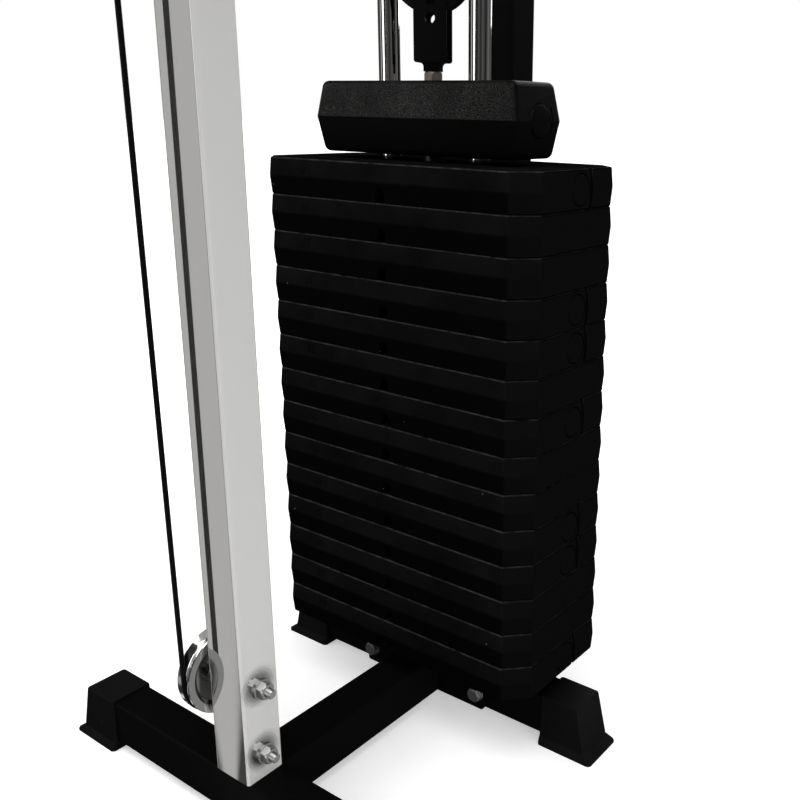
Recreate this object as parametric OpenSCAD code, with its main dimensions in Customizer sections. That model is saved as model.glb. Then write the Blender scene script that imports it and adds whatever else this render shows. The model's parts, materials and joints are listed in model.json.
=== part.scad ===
// Adjustable cable column with a plate weight stack for pulley exercises.
// X runs across the machine, +Y from the user towards the stack, +Z up.
// The origin is on the floor, at the middle of the whole machine's outline.

/* [Base frame] */
// Height of the frame tubes
tube_h = 50; // [44:1:60]
// Depth of the cross tubes and of the two uprights
tube_d = 44; // [40:1:50]
// Width of the uprights, the beam and the lengthwise tubes
tube_w = 50; // [46:1:56]
// Wall thickness of the tubes
tube_wall = 2; // [1.5:0.5:4]
// Corner radius of the tubes
tube_r = 3; // [1:0.5:4]
// Height of the tubes above the floor, which is the thickness of the boots' soles
tube_lift = 10.5; // [8:0.5:14]
// Length of the front cross tube
front_len = 504; // [460:2:600]
// Length of the rear cross tube
rear_len = 444; // [420:2:500]
// Distance from the machine's front face to the rear cross tube's front face
rear_y = 300; // [295:1:310]
// Distance from the front face to the rear upright's front face
rear_upright_y = 434; // [425:1:460]
// Width of the flange plate at the long tube's rear end
flange_w = 190; // [186:2:220]
// Height of the flange plate
flange_h = 42; // [36:1:42]
// Distance of the flange bolts from the middle
flange_bolt = 85; // [70:1:85]

/* [Height] */
// Height of the top beam's underside
beam_z = 2000; // [1900:10:2150]
// Height of the guide rods' upper ends
rod_top = 1976; // [1870:2:1976]

/* [Weight stack] */
// Number of plates in the stack
plate_n = 14; // [14]
// Thickness of one plate
plate_t = 41; // [36:0.5:41]
// Width of a plate at its middle ridge
plate_w = 383; // [360:1:390]
// Depth of a plate at its middle ridge
plate_d = 181; // [170:1:184]
// Size of the plates' cut corners
plate_c = 25; // [15:1:35]
// How far the ridge stands out past the plate's top and bottom edges
plate_bevel = 1.5; // [1:0.5:5]
// Height of the lowest plate's underside
stack_z = 86; // [80:1:95]
// Distance from the front face to the middle of the stack
stack_y = 322; // [320:1:324]
// Distance between the two guide rods' axes
rod_gap = 126.6; // [120:0.2:134]
// Diameter of the guide rods
rod_d = 24; // [20:0.5:26]
// Diameter of the selector stem
stem_d = 25; // [22:0.5:26]
// Width and height of the pin slot in a plate's underside
slot_w = 16; // [12:1:18]

/* [Head block] */
// Width of the head block at its ridge
head_w = 279; // [260:1:300]
// Depth of the head block at its ridge
head_d = 88; // [76:1:100]
// Height of the head block
head_h = 77; // [66:0.5:80]
// Gap between the top plate and the head block
head_gap = 6.5; // [5:0.5:12]

/* [Pulleys and cable] */
// Outer diameter of a pulley
pulley_od = 89; // [86:1:94]
// Width of a pulley
pulley_t = 18; // [16:0.5:19]
// Width of the hub of the pulleys that sit on a stub bolt
hub_t = 10.4; // [9:0.2:14]
// Radius of the cable's middle round a pulley
pitch_r = 42.5; // [40:0.5:43]
// Diameter of the coated cable
cable_d = 5; // [4:0.5:5]
// Diameter of the pulley bolts
bolt_d = 10; // [8:1:10]
// Angle by which the floating pulley turns away from the cross direction
swivel = 25; // [15:1:30]
// Height of the low pulley's axle
low_z = 161; // [155:1:175]
// Distance from the front face to the low pulley's axle
low_y = 23; // [20:1:24]
// Height of the floating pulley's axle
float_z = 856; // [850:1:870]

/* [Carriage] */
// Height of the carriage's locking pin with the carriage in its drawn place
carriage_z = 1340; // [1300:50:1400]
// Distance between the locking holes
hole_pitch = 50; // [50]

/* [Clearances] */
// Radial running clearance of a shaft in its bore
run_clear = 0.05; // [0.03:0.01:0.1]
// Gap between pieces that slide past each other
slide_clear = 0.3; // [0.3:0.05:0.5]

/* [Hidden] */
$fn = 64;

// Levels of the base and the beam
tube_top = tube_lift + tube_h;
beam_mid = beam_z + tube_h / 2;

// Levels of the stack and of what rides on it
stack_top = stack_z + plate_n * plate_t;
head_z = stack_top + head_gap;
head_top = head_z + head_h;
nut_h = 10;
neck_h = 9;
neck_z = head_top + nut_h;
fork_z = neck_z + neck_h;
fork_w = 36;

// The stem ends in a stud, which holds the head block down on the stem's shoulder
stud_d = 12;
stem_top = head_top - 20;

// Bushings, collars and bumpers of the guide rods
bush_d = rod_d + 7;
collar_d = rod_d + 13;
bumper_d = rod_d + 19;

// The two legs of cable that hold the floating pulley, seen from above
leg_x = pitch_r * cos(swivel);
leg_dy = pitch_r * sin(swivel);
left_leg_y = stack_y - leg_dy;
right_leg_y = stack_y + leg_dy;

// Where the spacers and the bolt heads of the fixed pulleys meet their hubs
hub_in = leg_x - hub_t / 2 - slide_clear;
hub_out = leg_x + hub_t / 2 + slide_clear;

// Axles of the four pulleys on the top beam
front_left_y = low_y + 2 * pitch_r;
rear_left_y = left_leg_y - pitch_r;
front_right_y = low_y;
rear_right_y = right_leg_y - pitch_r;

// Front stretch of cable, which leans a little towards the user as it rises
front_leg_y = low_y - pitch_r;
lean = 4.5;

// Carriage and its pulley
sleeve_wall = 5;
sleeve_x = tube_w / 2 + slide_clear;
sleeve_out = sleeve_x + sleeve_wall;
sleeve_front = -slide_clear - sleeve_wall;
sleeve_z = carriage_z - 70;
sleeve_h = 140;
cpul_y = front_leg_y - pitch_r;
cpul_z = carriage_z - 10;
anchor_z = sleeve_z - 14;
exit_z = cpul_z - pitch_r;
guide_y = cpul_y - 54;
stop_r = 12;
stop_y = guide_y - slide_clear - stop_r;
eye_r = 7;
eye_wire = 2.2;
eye_y = stop_y - stop_r - eye_r - 1;

// Extent of the whole machine along Y, for the origin
cap_t = 3;
y_min = eye_y - eye_r - eye_wire;
y_max = rear_upright_y + tube_d + cap_t;
y_mid = (y_min + y_max) / 2;

// Puts the finished piece over the origin
module place() {
    translate([0, -y_mid, 0]) children();
}

// Shapes that repeat

// Rectangle with rounded corners, centred
module round_rect(w, h, r) {
    square([w - 2 * r, h], center = true);
    square([w, h - 2 * r], center = true);
    for (x = [-1, 1]) for (y = [-1, 1])
        translate([x * (w / 2 - r), y * (h / 2 - r)]) circle(r, $fn = 24);
}

// Rectangular tube section, centred
module tube_section(w, h) {
    difference() {
        round_rect(w, h, tube_r);
        square([w - 2 * tube_wall, h - 2 * tube_wall], center = true);
    }
}

// Tube along X, centred on X
module tube_x(length, y) {
    translate([-length / 2, y + tube_d / 2, tube_lift + tube_h / 2])
        rotate([90, 0, 90]) linear_extrude(length) tube_section(tube_d, tube_h);
}

// Tube along Y from y0 to y1 with its underside at z
module tube_y(y0, y1, z) {
    translate([0, y1, z + tube_h / 2])
        rotate([90, 0, 0]) linear_extrude(y1 - y0) tube_section(tube_w, tube_h);
}

// Upright tube whose front face is at y
module tube_z(y, z0, z1) {
    translate([0, y + tube_d / 2, z0]) linear_extrude(z1 - z0) tube_section(tube_w, tube_d);
}

// Cylinder along X from x0 to x1
module rod_x(x0, x1, y, z, d) {
    translate([x0, y, z]) rotate([0, 90, 0]) cylinder(d = d, h = x1 - x0);
}

// Cylinder along Y from y0 to y1
module rod_y(x, y0, y1, z, d) {
    translate([x, y1, z]) rotate([90, 0, 0]) cylinder(d = d, h = y1 - y0);
}

// Hexagon prism along Z across the flats af, with its corners turned down
module hex(af, h) {
    intersection() {
        cylinder(d = af / cos(30), h = h, $fn = 6);
        cylinder(d1 = af * 1.13, d2 = af * 1.13, h = h);
        translate([0, 0, -0.01]) cylinder(r1 = af / 2 + 6, r2 = af / 2 - 0.4, h = h + 0.02);
    }
}

// Washer along Z
module washer(d, hole, t) {
    difference() {
        cylinder(d = d, h = t);
        translate([0, 0, -1]) cylinder(d = hole, h = t + 2);
    }
}

// Closed solid through rings of points, which run anticlockwise seen from above
module loft(rings) {
    n = len(rings[0]);
    m = len(rings);
    points = [for (r = rings) for (p = r) p];
    sides = [for (k = [0:m - 2]) for (i = [0:n - 1])
        [k * n + i, (k + 1) * n + i, (k + 1) * n + (i + 1) % n, k * n + (i + 1) % n]];
    polyhedron(points, concat([[for (i = [0:n - 1]) i]], sides,
        [[for (i = [n - 1:-1:0]) (m - 1) * n + i]]), convexity = 4);
}

// Rectangle from x0 to x1 and y0 to y1 with its corners cut by c, at height z
function cut_rect(x0, x1, y0, y1, c, z) = [
    [x0 + c, y0, z], [x1 - c, y0, z], [x1, y0 + c, z], [x1, y1 - c, z],
    [x1 - c, y1, z], [x0 + c, y1, z], [x0, y1 - c, z], [x0, y0 + c, z]];

// Rectangle w by d with corners of radius r, at height z
function soft_rect(w, d, r, z) = [
    for (q = [0:3]) for (a = [0:15:90])
        let (sx = (q == 0 || q == 3) ? 1 : -1, sy = q < 2 ? 1 : -1)
        [sx * (w / 2 - r) + r * cos(q * 90 + a), sy * (d / 2 - r) + r * sin(q * 90 + a), z]];

// Grooved pulley with its axle along X, centred on the origin: hub is the width at its bore
module pulley(hub) {
    r = pulley_od / 2;
    h = pulley_t / 2;
    g = pitch_r - cable_d / 2 - slide_clear;
    rotate([0, 90, 0]) rotate_extrude($fn = 96) polygon([
        [bolt_d / 2 + run_clear, -hub / 2], [14, -hub / 2], [14.6, -hub / 2 + 0.6],
        [15.4, -h + 5], [r - 12, -h + 5],
        [r - 9, -h + 1], [r - 8, -h], [r - 1, -h], [r, -h + 1],
        [r, -h + 1.6], [g + 0.7, -2.2], [g, -1.2], [g, 1.2], [g + 0.7, 2.2], [r, h - 1.6],
        [r, h - 1], [r - 1, h], [r - 8, h], [r - 9, h - 1], [r - 12, h - 5],
        [15.4, h - 5], [14.6, hub / 2 - 0.6], [14, hub / 2], [bolt_d / 2 + run_clear, hub / 2]]);
}

// Piece of cable bent round a pulley whose axle is along X: angles count from +Y upwards
module bend_x(a0, a1) {
    rotate([90, 0, 90]) rotate([0, 0, a0]) rotate_extrude(angle = a1 - a0, $fn = 96)
        translate([pitch_r, 0]) circle(d = cable_d, $fn = 24);
}

// Base frame

module front_cross_tube() {
    color("#17181a") tube_x(front_len, 0);
}

module rear_cross_tube() {
    color("#17181a") difference() {
        tube_x(rear_len, rear_y);
        for (x = [-flange_bolt, flange_bolt])
            rod_y(x, rear_y - 1, rear_y + tube_d + 1, tube_lift + 21, bolt_d);
    }
}

module long_tube() {
    color("#17181a") tube_y(tube_d, rear_y - 6, tube_lift);
}

module rear_base_tube() {
    color("#17181a") tube_y(rear_y + tube_d, rear_upright_y + tube_d, tube_lift);
}

module rear_flange_plate() {
    color("#17181a") translate([0, rear_y, tube_lift + 21]) rotate([90, 0, 0])
        linear_extrude(6) difference() {
            round_rect(flange_w, flange_h, 3);
            for (x = [-flange_bolt, flange_bolt]) translate([x, 0]) circle(d = bolt_d);
        }
}

// Bolts of the flange and the lower bolt through the front upright
module base_bolts() {
    color("#b9bcc0") {
        for (x = [-flange_bolt, flange_bolt]) {
            translate([x, rear_y - 6, tube_lift + 21]) rotate([90, 0, 0]) {
                washer(20, bolt_d - 0.1, 1.6);
                translate([0, 0, 1.6]) hex(16, 6.4);
            }
            rod_y(x, rear_y - 8, rear_y + tube_d + 14, tube_lift + 21, bolt_d);
            translate([x, rear_y + tube_d, tube_lift + 21]) rotate([-90, 0, 0]) {
                washer(20, bolt_d - 0.1, 1.6);
                translate([0, 0, 1.6]) hex(16, 8);
            }
        }
        through_bolt(87, -tube_w / 2 - 8);
    }
}

// Bolt along X through the front upright, with its nut on the right-hand side
module through_bolt(z, x_head) {
    rod_x(x_head + 1, tube_w / 2 + 16, low_y, z, bolt_d);
    translate([tube_w / 2 + 15, low_y, z]) rotate([0, 90, 0]) cylinder(d1 = bolt_d, d2 = 8, h = 2);
    translate([tube_w / 2, low_y, z]) rotate([0, 90, 0]) {
        washer(21, bolt_d - 0.1, 2);
        translate([0, 0, 2]) hex(16, 8);
    }
    translate([x_head + 8, low_y, z]) rotate([0, -90, 0]) {
        washer(20, bolt_d - 0.1, 1.6);
        translate([0, 0, 1.6]) hex(16, 6.4);
    }
}

// Moulded rubber boot over a tube's end: its inner end is at the origin, +X points outwards
module boot() {
    hw = tube_d / 2;
    top = tube_top + 2.5;
    difference() {
        loft([
            cut_rect(0, 72, -hw - 8, hw + 8, 3, 0),
            cut_rect(0, 72, -hw - 8, hw + 8, 3, 3),
            cut_rect(0, 62, -hw - 4, hw + 4, 2, 10),
            cut_rect(0, 51, -hw - 2.2, hw + 2.2, 2, top - 1.5),
            cut_rect(0, 49.5, -hw - 0.9, hw + 0.9, 2, top)]);
        translate([-1, -hw, tube_lift]) cube([47, tube_d, tube_h]);
    }
}

module front_boots() {
    color("#1c1d1e") for (s = [0, 1]) mirror([s, 0, 0])
        translate([front_len / 2 - 46, tube_d / 2, 0]) boot();
}

// Rear boots and the pad under the rear end of the base
module rear_feet() {
    color("#1c1d1e") {
        for (s = [0, 1]) mirror([s, 0, 0])
            translate([rear_len / 2 - 46, rear_y + tube_d / 2, 0]) boot();
        translate([0, rear_upright_y + tube_d - 26, 0]) linear_extrude(tube_lift)
            round_rect(tube_w, 44, 4);
    }
}

// Plastic plugs in the open tube ends
module tube_caps() {
    color("#202122") {
        tube_cap(rear_upright_y + tube_d, tube_lift + tube_h / 2, 1);
        tube_cap(rear_upright_y + tube_d, beam_mid, 1);
        tube_cap(0, beam_mid, -1);
    }
}

module tube_cap(y, z, side) {
    translate([0, y, z]) rotate([-90 * side, 0, 0]) {
        linear_extrude(cap_t - 1) round_rect(tube_w, tube_h, 3);
        translate([0, 0, cap_t - 1]) linear_extrude(1) round_rect(tube_w - 3, tube_h - 3, 3);
        translate([0, 0, -14]) linear_extrude(14)
            square([tube_w - 2 * tube_wall, tube_h - 2 * tube_wall], center = true);
    }
}

// Uprights and beam

// Polished upright: two bolts cross it low down, and its left wall has the locking holes
module front_upright() {
    color("#c9cacb") difference() {
        tube_z(0, tube_top, beam_z);
        for (z = [87, low_z]) rod_x(-tube_w, tube_w, low_y, z, bolt_d);
        for (k = [-20:11])
            rod_x(-tube_w / 2 - 1, -tube_w / 2 + 4, tube_d / 2, carriage_z + k * hole_pitch, 9);
    }
}

// Short inner tube that stands on the base and that both bolts go through
module upright_spigot() {
    color("#2a2b2d") difference() {
        translate([0, tube_d / 2, tube_top]) linear_extrude(130)
            square([tube_w - 2 * tube_wall, tube_d - 2 * tube_wall], center = true);
        translate([0, tube_d / 2, tube_top - 1]) linear_extrude(132)
            square([tube_w - 2 * tube_wall - 6, tube_d - 2 * tube_wall - 6], center = true);
        for (z = [87, low_z]) rod_x(-tube_w, tube_w, low_y, z, bolt_d);
    }
}

module rear_upright() {
    color("#17181a") tube_z(rear_upright_y, tube_top, beam_z);
}

module top_beam() {
    color("#17181a") difference() {
        tube_y(0, rear_upright_y + tube_d, beam_z);
        for (y = [front_left_y, rear_left_y])
            rod_x(-tube_w / 2 - 1, -tube_w / 2 + 4, y, beam_mid, bolt_d);
        for (y = [front_right_y, rear_right_y])
            rod_x(tube_w / 2 - 4, tube_w / 2 + 1, y, beam_mid, bolt_d);
    }
}

// Guide rods

// Plate that holds the rods' upper ends and lets both legs of the cable through
module rod_top_mount() {
    color("#17181a") {
        difference() {
            translate([0, stack_y, rod_top - 10]) linear_extrude(10)
                round_rect(rod_gap + collar_d + 6, collar_d + 26, 6);
            for (s = [-1, 1])
                translate([s * rod_gap / 2, stack_y, rod_top - 11])
                    cylinder(d = rod_d + 2 * run_clear, h = 12);
            translate([-leg_x, left_leg_y, rod_top - 11]) cylinder(d = 12, h = 12);
            translate([leg_x, right_leg_y, rod_top - 11]) cylinder(d = 12, h = 12);
        }
        translate([0, stack_y, rod_top]) linear_extrude(beam_z - rod_top)
            tube_section(tube_w, tube_d);
    }
}

module guide_rods() {
    color("#d9dadc") for (s = [-1, 1])
        translate([s * rod_gap / 2, stack_y, tube_top]) {
            cylinder(d = rod_d, h = rod_top - tube_top - 1.5);
            translate([0, 0, rod_top - tube_top - 1.5])
                cylinder(d1 = rod_d, d2 = rod_d - 3, h = 1.5);
        }
}

// Collars that hold the rods at the base and under the top plate
module rod_collars() {
    color("#b9bcc0") for (s = [-1, 1]) for (z = [tube_top, rod_top - 22])
        translate([s * rod_gap / 2, stack_y, z]) difference() {
            cylinder(d = collar_d, h = z == tube_top ? 8 : 12);
            translate([0, 0, -1]) cylinder(d = rod_d + 2 * run_clear, h = 14);
        }
}

// Rubber rings that carry the resting stack
module stack_bumpers() {
    z0 = tube_top + 8;
    color("#141415") for (s = [-1, 1])
        translate([s * rod_gap / 2, stack_y, z0]) rotate_extrude()
            polygon([[rod_d / 2 + run_clear, 0], [bumper_d / 2 - 2, 0], [bumper_d / 2, 3],
                [bumper_d / 2, stack_z - z0 - 3], [bumper_d / 2 - 2, stack_z - z0],
                [rod_d / 2 + run_clear, stack_z - z0]]);
}

// Weight stack

// Plates whose filler disc is on the right-hand end; the others have it on the left
right_disc = [1, 4, 5, 7, 10, 11, 14];

// One plate, counted from the top. A moulded shell with cut corners and a ridge half way up
module stack_plate(k) {
    e = plate_bevel;
    t = plate_t;
    hw = plate_w / 2;
    hd = plate_d / 2;
    s = len(search(k, right_disc)) > 0 ? 1 : -1;
    color("#161617") translate([0, stack_y, stack_z + (plate_n - k) * t]) difference() {
        union() {
            loft([for (v = [[e + 1.8, 0], [e, 1.8], [0, t / 2], [e, t - 1.8], [e + 1.8, t]])
                cut_rect(v[0] - hw, hw - v[0], v[0] - hd, hd - v[0], plate_c - 0.586 * v[0], v[1])]);
            // Filler disc, proud of the end face
            translate([s * (hw - 8), 2, t / 2]) rotate([0, 90 * s, 0])
                cylinder(d1 = 33, d2 = 31, h = 9.2, $fn = 48);
        }
        for (x = [-1, 1]) translate([x * rod_gap / 2, 0, -1]) cylinder(d = rod_d + 3, h = t + 2);
        translate([0, 0, -1]) cylinder(d = stem_d + 2.5, h = t + 2);
        // Slot for the selector pin, from the front edge to the stem
        translate([0, 0, slot_w / 2]) rotate([90, 0, 0]) cylinder(d = slot_w, h = hd + 1);
        translate([-slot_w / 2, -hd - 1, -1]) cube([slot_w, hd + 1, slot_w / 2 + 1]);
        // Mould groove beside the disc
        translate([s * hw - 3.5, 20.5, -1]) cube([7, 3, t + 2]);
    }
}

// Padded head block with a ridge half way up and well rounded corners
module head_block() {
    h = head_h;
    color("#1a1a1b") difference() {
        union() {
            translate([0, stack_y, head_z])
                loft([for (v = [[12.6, 0], [8.8, 0.9], [6.2, 3], [4.7, 7], [0.5, h / 2 - 1], [0, h / 2],
                    [0.5, h / 2 + 1], [5, h - 7], [6.4, h - 3], [9, h - 0.9], [12.8, h]])
                    soft_rect(head_w - 2 * v[0], head_d - 2 * v[0], 8 - v[0] / 4, v[1])]);
            translate([head_w / 2 - 9, stack_y + 3, head_z + h / 2]) rotate([0, 90, 0])
                cylinder(d1 = 34, d2 = 32, h = 10);
        }
        for (x = [-1, 1]) translate([x * rod_gap / 2, stack_y, head_z - 1])
            cylinder(d = bush_d, h = h + 2);
        translate([0, stack_y, head_z - 1]) cylinder(d = stem_d, h = stem_top - head_z + 1);
        translate([0, stack_y, stem_top - 1]) cylinder(d = stud_d, h = head_top - stem_top + 2);
        translate([head_w / 2 - 4, stack_y + 23, head_z + h / 2 - 14]) cube([8, 3, 28]);
    }
}

// Plain bushings that run on the guide rods
module head_bushings() {
    color("#2b2c2e") for (x = [-1, 1]) translate([x * rod_gap / 2, stack_y, head_z - 1.5])
        rotate_extrude() polygon([
            [rod_d / 2 + run_clear, 0], [bush_d / 2 + 1, 0], [bush_d / 2 + 2, 1.5], [bush_d / 2, 1.5],
            [bush_d / 2, head_h + 1], [bush_d / 2 - 0.6, head_h + 1.5],
            [rod_d / 2 + run_clear, head_h + 1.5]]);
}

// Selector stem with one pin hole for each plate, and the stud at its upper end
module selector_stem() {
    color("#8d9094") difference() {
        union() {
            translate([0, stack_y, stack_z + 6]) cylinder(d = stem_d, h = stem_top - stack_z - 6);
            translate([0, stack_y, stem_top - 1]) cylinder(d = stud_d, h = fork_z + 8 - stem_top);
            translate([0, stack_y, stack_z + 2]) cylinder(d1 = stem_d - 6, d2 = stem_d, h = 4);
        }
        for (k = [0:plate_n - 1])
            rod_y(0, stack_y - 20, stack_y + 20, stack_z + k * plate_t + slot_w / 2, 10.5);
    }
}

module stem_nut() {
    color("#b9bcc0") difference() {
        translate([0, stack_y, head_top]) hex(stud_d + 6, nut_h);
        translate([0, stack_y, head_top - 1]) cylinder(d = stud_d, h = nut_h + 2);
    }
}

// Floating pulley

module at_float() {
    translate([0, stack_y, float_z]) rotate([0, 0, swivel]) children();
}

// Two side plates on a block whose neck takes the stem
module floating_bracket() {
    cheek = pulley_t / 2 + 0.8;
    color("#17181a") at_float() difference() {
        union() {
            for (s = [0, 1]) mirror([0, s, 0]) translate([0, cheek + 3.2, 0]) rotate([90, 0, 0])
                linear_extrude(3.2) {
                    circle(d = fork_w);
                    translate([-fork_w / 2, fork_z - float_z + 3])
                        square([fork_w, float_z - fork_z - 3]);
                    translate([3 - fork_w / 2, fork_z - float_z]) square([fork_w - 6, 4]);
                    for (x = [-1, 1]) translate([x * (fork_w / 2 - 3), fork_z - float_z + 3])
                        circle(3, $fn = 24);
                }
            // Block between the side plates, coved in to the neck
            translate([0, cheek, 0]) rotate([90, 0, 0]) linear_extrude(2 * cheek)
                translate([3 - fork_w / 2, fork_z - float_z]) square([fork_w - 6, 12]);
            translate([0, 9, 0]) rotate([90, 0, 0]) linear_extrude(18) difference() {
                translate([-13, neck_z - float_z]) square([26, neck_h]);
                for (x = [-13, 13]) translate([x, neck_z - float_z + 4.5]) circle(4.5, $fn = 32);
                for (x = [-1, 1]) translate([x * 11 - 2.5, neck_z - float_z - 1]) square([5, 5.5]);
            }
        }
        translate([0, 0, neck_z - float_z - 1]) cylinder(d = stud_d, h = 19);
        for (z = [0, -31, -49])
            rod_y(0, -20, 20, z, z == 0 ? bolt_d : 11);
    }
}

module floating_axle() {
    cheek = pulley_t / 2 + 4;
    color("#b9bcc0") at_float() {
        rod_y(0, -cheek - 3, cheek + 12, 0, bolt_d);
        translate([0, -cheek, 0]) rotate([90, 0, 0]) hex(16, 6.4);
        translate([0, cheek, 0]) rotate([-90, 0, 0]) hex(16, 8);
    }
}

module floating_pulley() {
    color("#2a2b2d") at_float() rotate([0, 0, 90]) pulley(pulley_t);
}

// Fixed pulleys

module low_pulley() {
    color("#d4d6d8") translate([-leg_x, low_y, low_z]) pulley(hub_t);
}

// Long bolt that carries the low pulley, with the nut that spaces the pulley from the upright
module low_pulley_axle() {
    color("#b9bcc0") {
        through_bolt(low_z, -hub_out - 8);
        translate([-tube_w / 2, low_y, low_z]) rotate([0, -90, 0]) hex(16, hub_in - tube_w / 2);
    }
}

module top_pulley(s, y) {
    color("#d4d6d8") translate([s * leg_x, y, beam_mid]) pulley(hub_t);
}

// Bolts screwed into the beam's side walls, each with a nut as its spacer
module top_pulley_bolts() {
    color("#b9bcc0") for (v = [[-1, front_left_y], [-1, rear_left_y], [1, front_right_y],
        [1, rear_right_y]])
        translate([0, v[1], beam_mid]) rotate([0, v[0] * 90, 0]) {
            translate([0, 0, 12]) cylinder(d = bolt_d, h = hub_out - 9);
            translate([0, 0, tube_w / 2]) hex(16, hub_in - tube_w / 2);
            translate([0, 0, hub_out]) washer(20, bolt_d - 0.1, 1.6);
            translate([0, 0, hub_out + 1.6]) hex(16, 6.4);
        }
}

// Carriage on the front upright

// Sleeve, back plate, cable lug and the two side plates of the pulley
module carriage_frame() {
    px = leg_x + pulley_t / 2;
    color("#1d1e20") difference() {
        union() {
            translate([0, tube_d / 2, sleeve_z]) linear_extrude(sleeve_h) difference() {
                round_rect(2 * sleeve_out, tube_d + 2 * (slide_clear + sleeve_wall), 3);
                square([2 * sleeve_x, tube_d + 2 * slide_clear], center = true);
            }
            // Back plate
            translate([-leg_x - 8, sleeve_front - 4, sleeve_z])
                cube([leg_x + 8 + px + 4.5, 4, sleeve_h - 30]);
            // Lug over the front stretch of cable
            translate([-leg_x - 8, sleeve_front - 26, sleeve_z + 2]) cube([16, 22.5, 12]);
            // Side plates
            for (x = [px + 0.5, leg_x - pulley_t / 2 - 4.5])
                translate([x, 0, 0]) rotate([90, 0, 90]) linear_extrude(4) {
                    translate([cpul_y, cpul_z]) circle(32);
                    translate([cpul_y, cpul_z - 32]) square([sleeve_front - 3.5 - cpul_y, 64]);
                    translate([guide_y, exit_z - 11]) square([54, 22]);
                }
            // Exit guide
            translate([leg_x - pulley_t / 2 - 4.5, guide_y, exit_z - 11])
                cube([pulley_t + 9, 4, 22]);
            // Pin housing
            rod_x(-sleeve_out - 22, -sleeve_out + 1, tube_d / 2, carriage_z, 20);
        }
        rod_x(-sleeve_out - 30, -sleeve_x + 1, tube_d / 2, carriage_z, 8 + 2 * run_clear);
        rod_y(leg_x, guide_y - 1, guide_y + 5, exit_z, 7);
        rod_x(leg_x - 20, px + 10, cpul_y, cpul_z, bolt_d);
        translate([-leg_x, front_leg_y - lean, sleeve_z]) cylinder(d = 8, h = 20);
    }
}

module carriage_axle() {
    px = leg_x + pulley_t / 2;
    color("#b9bcc0") {
        rod_x(leg_x - pulley_t / 2 - 8, px + 13, cpul_y, cpul_z, bolt_d);
        translate([px + 4.5, cpul_y, cpul_z]) rotate([0, 90, 0]) hex(16, 6.4);
        translate([leg_x - pulley_t / 2 - 4.5, cpul_y, cpul_z]) rotate([0, -90, 0]) hex(16, 5);
        // Ferrule and stud that end the front stretch of cable in the lug
        translate([-leg_x, front_leg_y - lean, anchor_z]) {
            cylinder(d = 10, h = 14);
            cylinder(d = 8, h = 38);
            translate([0, 0, 28]) hex(13, 6);
        }
    }
}

module carriage_pulley() {
    color("#d4d6d8") translate([leg_x, cpul_y, cpul_z]) pulley(pulley_t);
}

// Locking pin and its knob, drawn back as when the carriage is being moved
module carriage_pin() {
    x = -sleeve_out;
    color("#26272a") {
        rod_x(x - 32, -tube_w / 2 - 0.4, tube_d / 2, carriage_z, 8);
        translate([x - 32, tube_d / 2, carriage_z]) rotate([0, -90, 0]) rotate_extrude()
            polygon([[0, 0], [9, 0], [14, 4], [15.5, 8], [15.5, 15], [13, 19], [0, 20]]);
    }
}

// Stop ball on the cable's end with a swivel eye
module cable_stop() {
    color("#202122") translate([leg_x, stop_y, exit_z]) difference() {
        sphere(stop_r, $fn = 48);
        rotate([90, 0, 0]) translate([0, 0, -stop_r - 1]) cylinder(d = cable_d, h = stop_r + 1);
    }
    color("#b9bcc0") {
        rod_y(leg_x, eye_y + eye_r - 1, stop_y - stop_r + 1, exit_z, 7);
        translate([leg_x, eye_y, exit_z]) rotate([0, 90, 0]) rotate_extrude()
            translate([eye_r, 0]) circle(eye_wire, $fn = 24);
    }
}

// Oval hook that hangs in the eye
module snap_hook() {
    w = 11;
    z0 = exit_z - eye_r + eye_wire + 2.5;
    color("#c3c5c8") translate([leg_x, eye_y, z0]) {
        for (s = [-1, 1]) translate([s * w, 0, -w - 44]) cylinder(r = 2.5, h = 44, $fn = 24);
        for (v = [[0, -w], [180, -w - 44]]) translate([0, 0, v[1]])
            rotate([0, v[0], 0]) rotate([90, 0, 0]) rotate_extrude(angle = 180)
                translate([w, 0]) circle(2.5, $fn = 24);
        translate([w, 0, -w - 30]) cylinder(d = 7, h = 16);
    }
}

// Cable

// Round the low pulley, up behind the front upright and over the two left-hand top pulleys
module cable_left_run() {
    color("#0f0f10") {
        translate([-leg_x, low_y, low_z]) bend_x(180, 360);
        translate([-leg_x, low_y + pitch_r, low_z]) cylinder(d = cable_d, h = beam_mid - low_z, $fn = 24);
        translate([-leg_x, front_left_y, beam_mid]) bend_x(90, 180);
        rod_y24(-leg_x, front_left_y, rear_left_y, beam_mid + pitch_r);
        translate([-leg_x, rear_left_y, beam_mid]) bend_x(0, 90);
    }
}

module cable_right_run() {
    color("#0f0f10") {
        translate([leg_x, rear_right_y, beam_mid]) bend_x(0, 90);
        rod_y24(leg_x, front_right_y, rear_right_y, beam_mid + pitch_r);
        translate([leg_x, front_right_y, beam_mid]) bend_x(90, 180);
    }
}

module rod_y24(x, y0, y1, z) {
    translate([x, y1, z]) rotate([90, 0, 0]) cylinder(d = cable_d, h = y1 - y0, $fn = 24);
}

// From the low pulley up to the lug on the carriage
module cable_front_lower() {
    h = anchor_z - low_z;
    color("#0f0f10") translate([-leg_x, front_leg_y, low_z]) rotate([atan(lean / h), 0, 0])
        cylinder(d = cable_d, h = h, $fn = 24);
}

// From the front top pulley down to the carriage's pulley
module cable_front_upper() {
    color("#0f0f10") translate([leg_x, front_leg_y, cpul_z])
        cylinder(d = cable_d, h = beam_mid - cpul_z, $fn = 24);
}

// The two legs that hold the floating pulley
module cable_stack_legs() {
    color("#0f0f10") {
        translate([-leg_x, left_leg_y, float_z])
            cylinder(d = cable_d, h = beam_mid - float_z, $fn = 24);
        translate([leg_x, right_leg_y, float_z])
            cylinder(d = cable_d, h = beam_mid - float_z, $fn = 24);
    }
}

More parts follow.
